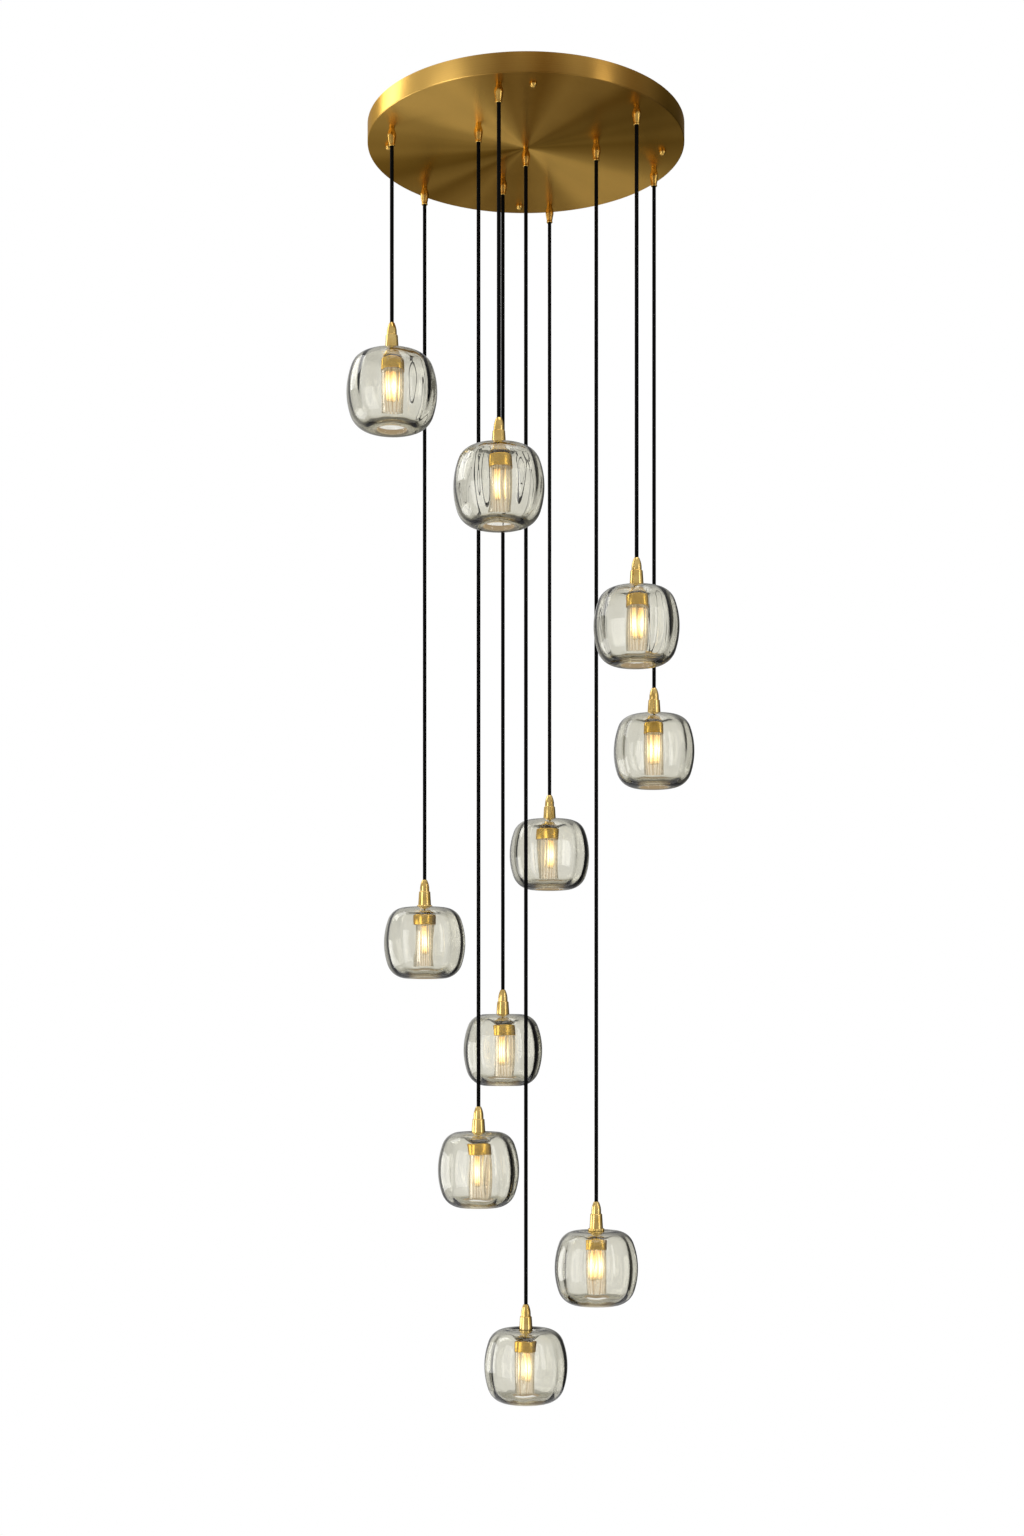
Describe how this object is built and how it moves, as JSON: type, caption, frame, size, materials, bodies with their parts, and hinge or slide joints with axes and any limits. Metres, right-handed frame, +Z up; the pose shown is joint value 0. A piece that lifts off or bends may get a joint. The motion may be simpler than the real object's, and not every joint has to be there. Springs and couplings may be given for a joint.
{
  "type": "cluster pendant light",
  "caption": "Cluster pendant: round brass ceiling pan and dimpled smoky glass globes on dark cords at stepped heights, each with a brass stem, fluted glass sleeve and slim bulb.",
  "frame": {"origin": "centre of the ceiling bracket's top face, at the middle of its four ceiling screws, in the ceiling's plane", "axes": "+Z up into the ceiling, the lamps hang towards -Z; +X to the right and +Y away from the viewer of the picture"},
  "size_m": [0.5521, 0.5675, 2.0155],
  "materials": {
    "pan_brass": "aged brushed brass, brushed round its centre",
    "fitting_brass": "polished light brass",
    "zinc_steel": "zinc-plated steel",
    "white_plastic": "moulded plastic",
    "cord": "smooth dark sheath",
    "globe_glass": "blown smoky olive glass with soft ribs",
    "sleeve_glass": "clear fluted glass",
    "bulb_glass": "clear bulb with lit warm filaments"
  },
  "bodies": {
    "ceiling_part": {"canopy": "pan_brass", "ceiling_bracket": "zinc_steel", "bracket_studs": "zinc_steel", "cap_nuts": "fitting_brass", "junction_block": "white_plastic", "bracket_screws": "zinc_steel", "canopy_grips": "fitting_brass", "grip_nuts": "zinc_steel", "cord_tails": "cord"},
    "hanging_cord_1": {"cord_1": "cord"},
    "lamp_1": {"fitting_1": "fitting_brass", "shade_1": "globe_glass", "sleeve_1": "sleeve_glass", "bulb_1": "bulb_glass"},
    "hanging_cord_2": {"cord_2": "cord"},
    "lamp_2": {"fitting_2": "fitting_brass", "shade_2": "globe_glass", "sleeve_2": "sleeve_glass", "bulb_2": "bulb_glass"},
    "hanging_cord_3": {"cord_3": "cord"},
    "lamp_3": {"fitting_3": "fitting_brass", "shade_3": "globe_glass", "sleeve_3": "sleeve_glass", "bulb_3": "bulb_glass"},
    "hanging_cord_4": {"cord_4": "cord"},
    "lamp_4": {"fitting_4": "fitting_brass", "shade_4": "globe_glass", "sleeve_4": "sleeve_glass", "bulb_4": "bulb_glass"},
    "hanging_cord_5": {"cord_5": "cord"},
    "lamp_5": {"fitting_5": "fitting_brass", "shade_5": "globe_glass", "sleeve_5": "sleeve_glass", "bulb_5": "bulb_glass"},
    "hanging_cord_6": {"cord_6": "cord"},
    "lamp_6": {"fitting_6": "fitting_brass", "shade_6": "globe_glass", "sleeve_6": "sleeve_glass", "bulb_6": "bulb_glass"},
    "hanging_cord_7": {"cord_7": "cord"},
    "lamp_7": {"fitting_7": "fitting_brass", "shade_7": "globe_glass", "sleeve_7": "sleeve_glass", "bulb_7": "bulb_glass"},
    "hanging_cord_8": {"cord_8": "cord"},
    "lamp_8": {"fitting_8": "fitting_brass", "shade_8": "globe_glass", "sleeve_8": "sleeve_glass", "bulb_8": "bulb_glass"},
    "hanging_cord_9": {"cord_9": "cord"},
    "lamp_9": {"fitting_9": "fitting_brass", "shade_9": "globe_glass", "sleeve_9": "sleeve_glass", "bulb_9": "bulb_glass"},
    "hanging_cord_10": {"cord_10": "cord"},
    "lamp_10": {"fitting_10": "fitting_brass", "shade_10": "globe_glass", "sleeve_10": "sleeve_glass", "bulb_10": "bulb_glass"}
  },
  "joints": [
    {"name": "swing_1", "type": "hinge", "parent": "ceiling_part", "child": "hanging_cord_1", "pos_m": [-0.20783, -0.07217, -0.06], "axis": [-0.9447, -0.328, 0], "range_deg": [-5, 5]},
    {"name": "tilt_1", "type": "hinge", "parent": "hanging_cord_1", "child": "lamp_1", "pos_m": [-0.20783, -0.07217, -0.3327], "axis": [-0.328, 0.9447, 0], "range_deg": [-12, 12]},
    {"name": "swing_2", "type": "hinge", "parent": "ceiling_part", "child": "hanging_cord_2", "pos_m": [-0.04141, -0.21607, -0.06], "axis": [-0.1882, -0.9821, 0], "range_deg": [-5, 5]},
    {"name": "tilt_2", "type": "hinge", "parent": "hanging_cord_2", "child": "lamp_2", "pos_m": [-0.04141, -0.21607, -0.5247], "axis": [-0.9821, 0.1882, 0], "range_deg": [-12, 12]},
    {"name": "swing_3", "type": "hinge", "parent": "ceiling_part", "child": "hanging_cord_3", "pos_m": [0.16641, -0.1439, -0.06], "axis": [0.7564, -0.6541, 0], "range_deg": [-5, 5]},
    {"name": "tilt_3", "type": "hinge", "parent": "hanging_cord_3", "child": "lamp_3", "pos_m": [0.16641, -0.1439, -0.7137], "axis": [-0.6541, -0.7564, 0], "range_deg": [-12, 12]},
    {"name": "swing_4", "type": "hinge", "parent": "ceiling_part", "child": "hanging_cord_4", "pos_m": [0.20783, 0.07217, -0.06], "axis": [0.9447, 0.328, 0], "range_deg": [-5, 5]},
    {"name": "tilt_4", "type": "hinge", "parent": "hanging_cord_4", "child": "lamp_4", "pos_m": [0.20783, 0.07217, -0.8717], "axis": [0.328, -0.9447, 0], "range_deg": [-12, 12]},
    {"name": "swing_5", "type": "hinge", "parent": "ceiling_part", "child": "hanging_cord_5", "pos_m": [0.04141, 0.21607, -0.06], "axis": [0.1882, 0.9821, 0], "range_deg": [-5, 5]},
    {"name": "tilt_5", "type": "hinge", "parent": "hanging_cord_5", "child": "lamp_5", "pos_m": [0.04141, 0.21607, -1.0267], "axis": [0.9821, -0.1882, 0], "range_deg": [-12, 12]},
    {"name": "swing_6", "type": "hinge", "parent": "ceiling_part", "child": "hanging_cord_6", "pos_m": [-0.16641, 0.1439, -0.06], "axis": [-0.7564, 0.6541, 0], "range_deg": [-5, 5]},
    {"name": "tilt_6", "type": "hinge", "parent": "hanging_cord_6", "child": "lamp_6", "pos_m": [-0.16641, 0.1439, -1.1757], "axis": [0.6541, 0.7564, 0], "range_deg": [-12, 12]},
    {"name": "swing_7", "type": "hinge", "parent": "ceiling_part", "child": "hanging_cord_7", "pos_m": [-0.03691, 0.10627, -0.06], "axis": [-0.328, 0.9447, 0], "range_deg": [-5, 5]},
    {"name": "tilt_7", "type": "hinge", "parent": "hanging_cord_7", "child": "lamp_7", "pos_m": [-0.03691, 0.10627, -1.3587], "axis": [0.9447, 0.328, 0], "range_deg": [-12, 12]},
    {"name": "swing_8", "type": "hinge", "parent": "ceiling_part", "child": "hanging_cord_8", "pos_m": [-0.07358, -0.0851, -0.06], "axis": [-0.6541, -0.7564, 0], "range_deg": [-5, 5]},
    {"name": "tilt_8", "type": "hinge", "parent": "hanging_cord_8", "child": "lamp_8", "pos_m": [-0.07358, -0.0851, -1.5447], "axis": [-0.7564, 0.6541, 0], "range_deg": [-12, 12]},
    {"name": "swing_9", "type": "hinge", "parent": "ceiling_part", "child": "hanging_cord_9", "pos_m": [0.11049, -0.02118, -0.06], "axis": [0.9821, -0.1882, 0], "range_deg": [-5, 5]},
    {"name": "tilt_9", "type": "hinge", "parent": "hanging_cord_9", "child": "lamp_9", "pos_m": [0.11049, -0.02118, -1.6957], "axis": [-0.1882, -0.9821, 0], "range_deg": [-12, 12]},
    {"name": "swing_10", "type": "hinge", "parent": "ceiling_part", "child": "hanging_cord_10", "pos_m": [0, 0, -0.06], "axis": [0.9821, -0.1882, 0], "range_deg": [-1.5, 1.5]},
    {"name": "tilt_10", "type": "hinge", "parent": "hanging_cord_10", "child": "lamp_10", "pos_m": [0, 0, -1.8597], "axis": [-0.1882, -0.9821, 0], "range_deg": [-12, 12]}
  ]
}
